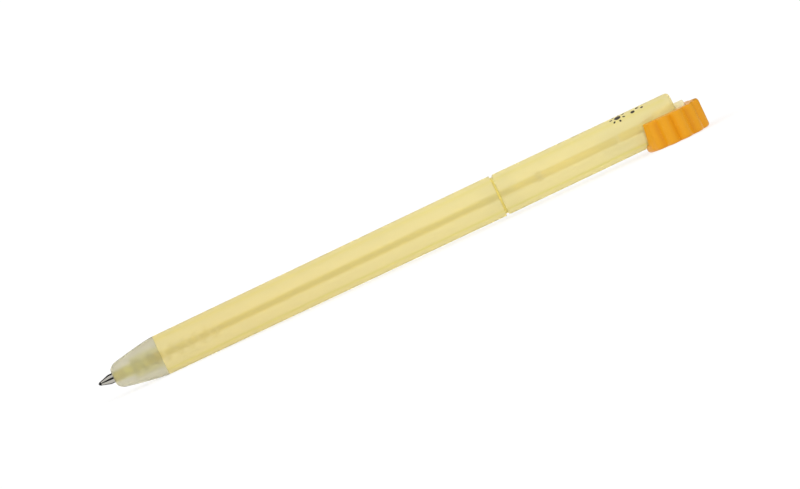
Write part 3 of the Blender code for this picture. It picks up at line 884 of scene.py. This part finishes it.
def makeOrnament():
    spec = ornament
    front = startOf("upper_barrel")
    length = endOf("upper_barrel") - front
    frontRadius = radiusOf("upper_barrel")
    bm = bmesh.new()

    def onBarrel(along, across, lift):
        x = spec["centre"] + along
        taper = (barrels["wall"] - barrels["tailWall"]) * (x - front) / length
        radius = frontRadius - taper + lift
        angle = math.radians(spec["azimuth"]) + across / radius
        return bm.verts.new((x, -radius * math.cos(angle), axisZ + radius * math.sin(angle)))

    def borderOf(grid):
        border = [row[0] for row in grid] + grid[-1][1:]
        return border + [row[-1] for row in grid[-2::-1]] + grid[0][-2:0:-1]

    def addPatch(rows):
        # closed skin over a grid of (along, across) points
        top = [[onBarrel(a, b, spec["lift"]) for a, b in row] for row in rows]
        under = [[onBarrel(a, b, spec["underLift"]) for a, b in row] for row in rows]
        skinRows(bm, top)
        skinRows(bm, [row[::-1] for row in under])
        rim = borderOf(top)
        base = borderOf(under)
        skinRows(bm, [rim + rim[:1], base + base[:1]])

    def addDisc(along, across, radius):
        # square grid pushed out to a disc
        steps = spec["discSteps"]
        shares = [-1 + 2 * step / steps for step in range(steps + 1)]
        addPatch([[(along + radius * u * math.sqrt(1 - v * v / 2),
                    across + radius * v * math.sqrt(1 - u * u / 2)) for u in shares] for v in shares])

    addDisc(0, 0, spec["dotRadius"])
    for along, across, radius in spec["beads"]:
        addDisc(along * mm, across * mm, radius * mm)
    for ray in range(spec["rays"]):
        angle = 2 * math.pi * (ray + 0.5) / spec["rays"]
        outward = Vector((math.cos(angle), math.sin(angle)))
        side = Vector((-outward.y, outward.x)) * spec["rayWidth"] / 2
        rows = []
        for step in range(spec["raySteps"] + 1):
            share = step / spec["raySteps"]
            middle = outward * (spec["rayStart"] + (spec["rayEnd"] - spec["rayStart"]) * share)
            width = math.sqrt(max(spec["rayBlunt"], 1 - (2 * share - 1) ** spec["rayFullness"]))
            rows.append([tuple(middle + side * width * edge) for edge in spec["rayEdges"]])
        addPatch(rows)
    piece = finishObject(bm, "printedOrnament", darkPrint)
    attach(piece, "barrel")


# refill

refill = {
    "ballShow": 0.2 * mm,
    "ballGap": 0.03 * mm,
    "ballSteps": 24,
    "socketSteps": 10,
    "rimRadius": 0.37 * mm,
    "rimSoftLength": 0.04 * mm,
    "rimSoftDrop": 0.03 * mm,
    "coneLength": 2.55 * mm,
    "coneSoftFront": 0.06 * mm,  # softened edge where the cone meets the round part
    "coneSoftBack": 0.08 * mm,
    "coneSoftDrop": 0.012 * mm,
    "shoulderGap": 0.1 * mm,     # to the tip holder
    "shoulderChamfer": 0.06 * mm,
    "shankRadius": 0.8 * mm,
    "shankLength": 4.0 * mm,
    "inkWay": 0.2 * mm,
    "inkAndShadeRim": 0.42 * mm,       # length of the tip's rim painted black: partly ink stain, partly painted shade round the ball
    "platedDepth": 0.3 * mm,     # bright plating ends this far inside the cone
    "tubeWall": 0.32 * mm,
    "collarGap": 0.1 * mm,       # to the return spring
    "collarLength": 1.0 * mm,
    "collarChamfer": 0.1 * mm,
    "meniscusDepth": 0.35 * mm,
    "meniscusBend": 0.25 * mm,   # depth at the bend, and the bend's share of the radius
    "meniscusShare": 0.6,
}


def makeTip():
    spec = refill
    front = startOf("writing_ball")
    ballRadius = (endOf("writing_ball") - front) / 2
    tipRadius = radiusOf("tip_body")
    rimRadius = spec["rimRadius"]
    socket = ballRadius + spec["ballGap"]
    rimAngle = 180 - math.degrees(math.acos((ballRadius - spec["ballShow"]) / socket))
    backAngle = math.degrees(math.asin(spec["inkWay"] / socket))
    rim = front + spec["ballShow"]
    inkAndShadeEnd = rim + spec["inkAndShadeRim"]
    inkAndShadeRadius = rimRadius + (tipRadius - rimRadius) * spec["inkAndShadeRim"] / spec["coneLength"]
    coneEnd = rim + spec["coneLength"]
    plated = startOf("nose_cone") + spec["platedDepth"]
    shoulder = startOf("tip_holder") - spec["shoulderGap"]
    chamfer = spec["shoulderChamfer"]
    shankEnd = shoulder + spec["shankLength"]
    outline = [
        (rim, rimRadius - spec["rimSoftDrop"]),
        (rim + spec["rimSoftLength"], rimRadius),
        (inkAndShadeEnd, inkAndShadeRadius),
        (coneEnd - spec["coneSoftFront"], tipRadius - spec["coneSoftDrop"]),
        (coneEnd + spec["coneSoftBack"], tipRadius),
        (plated, tipRadius),
        (shoulder - chamfer, tipRadius),
        (shoulder, tipRadius - chamfer),
        (shoulder, spec["shankRadius"]),
        (shankEnd, spec["shankRadius"]),
        (shankEnd, spec["inkWay"]),
    ]
    outline += arcPoints(front + ballRadius, 0, socket, backAngle, rimAngle, spec["socketSteps"])
    tip = lathe("tipSocket", outline, polishedSteel)
    # the rim is painted black: partly ink, partly painted shade round the ball
    addFinish(tip, inkAndShadeBlack, lambda centre, outward: centre.x < inkAndShadeEnd)
    addFinish(tip, brassSocket, lambda centre, outward: centre.x > plated)
    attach(tip, "refill")
    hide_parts("tip_body")


def makeBall():
    # turned about the pen's axis
    front = startOf("writing_ball")
    back = endOf("writing_ball")
    radius = (back - front) / 2
    outline = arcPoints(front + radius, 0, radius, 180, 0, refill["ballSteps"])
    outline[0] = (front, 0)
    outline[-1] = (back, 0)
    ball = lathe("writingBallBead", outline, inkAndShadeBlack, meshDetail["tubeSides"])
    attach(ball, "ball")
    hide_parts("writing_ball")


def makeTube():
    # tube with its spring collar
    spec = refill
    front = startOf("refill_tube")
    back = endOf("refill_tube")
    radius = radiusOf("tip_holder")
    bore = radius - spec["tubeWall"]
    collarRadius = radiusOf("refill_tube")
    collar = endOf("return_spring") + spec["collarGap"]
    collarEnd = collar + spec["collarLength"]
    chamfer = spec["collarChamfer"]
    seam = startOf("lower_barrel")
    outline = [
        (front, bore),
        (front, radius),
        (seam, radius),
        (collar, radius),
        (collar, collarRadius - chamfer),
        (collar + chamfer, collarRadius),
        (collarEnd - chamfer, collarRadius),
        (collarEnd, collarRadius - chamfer),
        (collarEnd, radius),
        (back, radius),
        (back, bore),
    ]
    tube = lathe("refillTubeBody", outline, tubePlastic, meshDetail["tubeSides"])
    inward = meshDetail["inward"]
    addFinish(tube, clearSleeve, lambda centre, outward: outward > inward and centre.x > seam)
    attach(tube, "refill")
    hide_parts("refill_tube")


def makeInk():
    # ink with a meniscus at its tail end
    spec = refill
    front = startOf("ink_column")
    back = endOf("ink_column")
    radius = radiusOf("ink_column")
    outline = [
        (front, 0),
        (front, radius),
        (back, radius),
        (back - spec["meniscusBend"], radius * spec["meniscusShare"]),
        (back - spec["meniscusDepth"], 0),
    ]
    ink = lathe("inkFill", outline, blackInk, meshDetail["tubeSides"])
    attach(ink, "refill")
    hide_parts("ink_column")


# return spring

spring = {
    "wire": 0.4 * mm,
    "slimmer": 0.4 * mm,         # than its solid, so that it shows narrow in the cone
    "coils": 9,
    "endCoils": 1,
    "endPitch": 1.12,            # in wire diameters
    "coilSteps": 40,
    "wireSides": 12,
    "tangentReach": 0.01,        # turns to each side, for the wire's direction
}


def makeSpring():
    spec = spring
    low, high = nodeBox("return_spring")
    wireRadius = spec["wire"] / 2
    meanRadius = (high.y - low.y) / 2 - wireRadius - spec["slimmer"]
    endPitch = spec["wire"] * spec["endPitch"]
    middleCoils = spec["coils"] - 2 * spec["endCoils"]
    usable = high.x - low.x - spec["wire"]
    middlePitch = (usable - 2 * spec["endCoils"] * endPitch) / middleCoils

    def centreAt(turns):
        first = min(turns, spec["endCoils"])
        middle = min(max(turns - spec["endCoils"], 0), middleCoils)
        last = max(turns - spec["endCoils"] - middleCoils, 0)
        x = low.x + wireRadius + (first + last) * endPitch + middle * middlePitch
        angle = 2 * math.pi * turns
        return Vector((x, meanRadius * math.cos(angle), axisZ + meanRadius * math.sin(angle)))

    bm = bmesh.new()
    count = spec["coils"] * spec["coilSteps"]
    nearby = spec["tangentReach"]
    rings = []
    for index in range(count + 1):
        turns = index / spec["coilSteps"]
        centre = centreAt(turns)
        outward = (centre - Vector((centre.x, 0, axisZ))).normalized()
        along = (centreAt(turns + nearby) - centreAt(turns - nearby)).normalized()
        side = along.cross(outward)
        ring = []
        for step in range(spec["wireSides"]):
            angle = 2 * math.pi * step / spec["wireSides"]
            offset = math.cos(angle) * outward + math.sin(angle) * side
            ring.append(bm.verts.new(centre + wireRadius * offset))
        rings.append(ring)
    skinRings(bm, rings)
    coil = finishObject(bm, "returnSpringCoil", springWire)
    # the coils behind the milky wall get a paler copy of the wire, painted light so that they hardly show
    wallStart = startOf("lower_barrel")
    addFinish(coil, paintedLightWire, lambda centre, outward: centre.x > wallStart)
    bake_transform(coil)
    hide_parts("return_spring")


# finishes on the pieces that stay as they come

keptFinish = {
    "cam_rotor": clearSleeve,
    "tail_plug": naturalPlastic,
    "tip_holder": holderYellow,
}


def finishKeptNodes():
    for node, material in keptFinish.items():
        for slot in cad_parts[node].material_slots:
            slot.material = material


makeNoseCone()
makeLowerBarrel()
makeUpperBarrel()
makeCoupling()
makeOrnament()
print("cone and barrels made")
makePushRod()
makeRotorCore()
makeKnob()
print("knock made")
makeTip()
makeBall()
makeTube()
makeInk()
makeSpring()
finishKeptNodes()
print("refill and spring made")


# studio

studio = {
    "floorHalf": 6.0,
    "floorTone": (160, 160, 160),
    "floorRoughness": 0.9,
    "floorGlow": 0.7,            # light table: what is left of white comes from the tone
    "floorFill": 0.55,           # the same, as a lamp for the pen
    "worldFill": 0.8,
    "cameraDistance": 3.0,
    "cameraRise": 3.0,           # degrees above the horizon
    "cameraRoll": 25.32,         # degrees that the pen climbs to the right
    "frameWidth": 0.1806,        # width of the view at the pen
    "aimDrop": 0.475 * mm,       # aim point below the pen's axis
    "sensorWidth": 36,           # in millimetres, as the camera takes it
    "clipStart": 0.05,
    "clipEnd": 50,
    "cardTone": 0.004,
}


def seenShare(tree):
    # 1 where a surface is seen straight, mirrored or through the plastic
    path = addNode(tree, "ShaderNodeLightPath")
    share = path.outputs["Is Camera Ray"]
    for ray in ("Is Glossy Ray", "Is Transmission Ray"):
        either = addNode(tree, "ShaderNodeMath", operation="MAXIMUM")
        tree.links.new(share, either.inputs[0])
        tree.links.new(path.outputs[ray], either.inputs[1])
        share = either.outputs[0]
    return share


def linkStrength(tree, socket, asLamp, asSeen):
    strength = addNode(tree, "ShaderNodeMapRange")
    strength.inputs["To Min"].default_value = asLamp
    strength.inputs["To Max"].default_value = asSeen
    tree.links.new(seenShare(tree), strength.inputs["Value"])
    tree.links.new(strength.outputs["Result"], socket)


def makeWorld():
    world = bpy.data.worlds.new("studioWorld")
    bpy.context.scene.world = world
    world.use_nodes = True
    tree = world.node_tree
    background = tree.nodes["Background"]
    background.inputs["Color"].default_value = white
    linkStrength(tree, background.inputs["Strength"], studio["worldFill"], 1.0)


def matteMaterial(name, tone, roughness):
    material, tree, shader = newMaterial(name)
    shader.inputs["Base Color"].default_value = tone
    shader.inputs["Roughness"].default_value = roughness
    shader.inputs["Specular IOR Level"].default_value = 0.0
    return material, tree, shader


def makeFloor():
    tone = linearColor(*studio["floorTone"])
    material, tree, shader = matteMaterial("paperFloor", tone, studio["floorRoughness"])
    shader.inputs["Emission Color"].default_value = white
    linkStrength(tree, shader.inputs["Emission Strength"], studio["floorFill"], studio["floorGlow"])
    half = studio["floorHalf"]
    bm = bmesh.new()
    skinRows(bm, [[bm.verts.new((x, y, 0)) for x in (-half, half)] for y in (-half, half)])
    floor = objectFrom(bm, "floor", material)
    # the pen leans on its knob and on its nose, so the floor meets both
    toeX = startOf("knock_knob") + knob["backRound"]
    noseX = startOf("lower_barrel")
    noseZ = axisZ - radiusOf("nose_cone")
    slope = math.atan2(noseZ, toeX - noseX)
    floor.location = (toeX, 0, 0)
    floor.rotation_euler = (0, slope, 0)


flags = {
    "reach": 14 * mm,            # distance from the tip's axis
    "sectors": ((-34, 26), (90, 176)),   # degrees round the axis, 0 towards the front
    "start": -100 * mm,
    "end": -70.8 * mm,
    "steps": 12,
    "stripHeight": 2.6 * mm,     # strip just above the floor, behind the tip
    "stripNear": 0.2 * mm,
    "stripFar": 40 * mm,
}


cardTone = studio["cardTone"]
cardBlack = matteMaterial("cardBlack", (cardTone, cardTone, cardTone, 1), 1.0)[0]


def addStageCard(bm, name):
    card = objectFrom(bm, name, cardBlack)
    card.visible_camera = False
    card.visible_diffuse = False
    card.visible_transmission = False
    card.visible_shadow = False


def makeFlags():
    # dark flags round the metal tip, seen only in reflections
    spec = flags
    ends = (spec["start"], spec["end"])
    bm = bmesh.new()
    for low, high in spec["sectors"]:
        rows = []
        for step in range(spec["steps"] + 1):
            angle = math.radians(low + (high - low) * step / spec["steps"])
            y = -spec["reach"] * math.cos(angle)
            z = axisZ + spec["reach"] * math.sin(angle)
            rows.append([bm.verts.new((x, y, z)) for x in ends])
        skinRows(bm, rows)
    depths = (spec["stripNear"], spec["stripFar"])
    skinRows(bm, [[bm.verts.new((x, y, spec["stripHeight"])) for x in ends] for y in depths])
    addStageCard(bm, "tipFlags")


tailFlag = {
    "near": 74 * mm,             # along the pen
    "far": 108 * mm,
    "front": -4 * mm,
    "back": 16 * mm,
    "top": 30 * mm,
}


def makeTailFlag():
    # dark corner beyond the tail, seen only in the knob's reflections
    spec = tailFlag
    corners = ((spec["far"], spec["front"]), (spec["far"], spec["back"]), (spec["near"], spec["back"]))
    bm = bmesh.new()
    skinRows(bm, [[bm.verts.new((x, y, z)) for z in (0, spec["top"])] for x, y in corners])
    addStageCard(bm, "tailFlag")


lamps = {
    "keyLight": {"direction": (-0.75, -0.6, 0.4), "spread": 40, "strength": 0.72},
    "fillLight": {"direction": (0.75, -0.6, 0.4), "spread": 40, "strength": 0.45},
}


def makeLights():
    for name, look in lamps.items():
        data = bpy.data.lights.new(name, "SUN")
        data.angle = math.radians(look["spread"])
        data.energy = look["strength"]
        lamp = bpy.data.objects.new(name, data)
        bpy.context.scene.collection.objects.link(lamp)
        lamp.location = look["direction"]
        lamp.rotation_euler = (-Vector(look["direction"])).to_track_quat("-Z", "Y").to_euler()
        lamp.visible_glossy = False


def makeCamera():
    data = bpy.data.cameras.new("camera")
    data.sensor_width = studio["sensorWidth"]
    data.lens = data.sensor_width * studio["cameraDistance"] / studio["frameWidth"]
    data.clip_start = studio["clipStart"]
    data.clip_end = studio["clipEnd"]
    camera = bpy.data.objects.new("camera", data)
    bpy.context.scene.collection.objects.link(camera)
    rise = math.radians(studio["cameraRise"])
    back = Vector((0, -math.cos(rise), math.sin(rise)))
    aim = Vector((0, 0, axisZ - studio["aimDrop"]))
    camera.location = aim + back * studio["cameraDistance"]
    level = (-back).to_track_quat("-Z", "Y")
    roll = Matrix.Rotation(-math.radians(studio["cameraRoll"]), 3, "Z").to_quaternion()
    camera.rotation_mode = "QUATERNION"
    camera.rotation_quaternion = level @ roll
    bpy.context.scene.camera = camera


bpy.context.scene.view_settings.view_transform = "Standard"
makeWorld()
makeFloor()
makeFlags()
makeTailFlag()
makeLights()
makeCamera()
print("studio ready")
